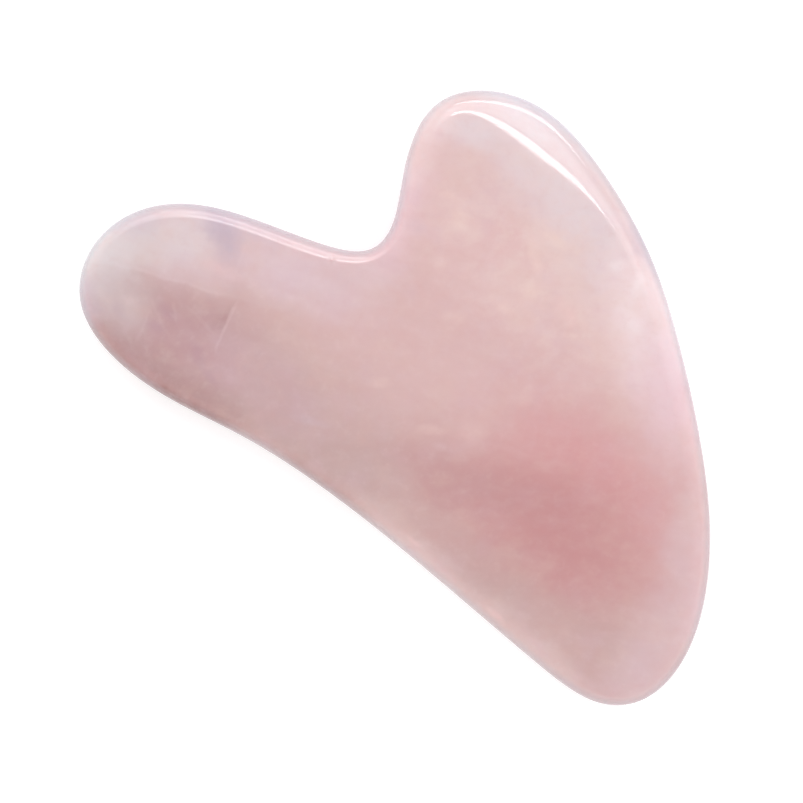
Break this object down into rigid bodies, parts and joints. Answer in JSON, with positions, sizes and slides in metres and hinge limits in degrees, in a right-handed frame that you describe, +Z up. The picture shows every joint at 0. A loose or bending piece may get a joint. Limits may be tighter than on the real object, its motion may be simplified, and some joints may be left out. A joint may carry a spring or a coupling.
{
  "type": "gua sha scraper",
  "caption": "Flat polished stone massage plate with one long lobe, a rounded horn and a hollow between them for the jaw, used to stroke the face and neck.",
  "frame": {"origin": "under the middle of the bounding box, on the flat face the stone rests on", "axes": "+X along the length, from the handle lobe to the broad end; +Y across it, towards the horn; +Z up through the thickness"},
  "size_m": [0.086, 0.0544, 0.0065],
  "materials": {
    "rose_quartz": "polished"
  },
  "bodies": {
    "root": {"scraper_stone": "rose_quartz"}
  },
  "joints": []
}
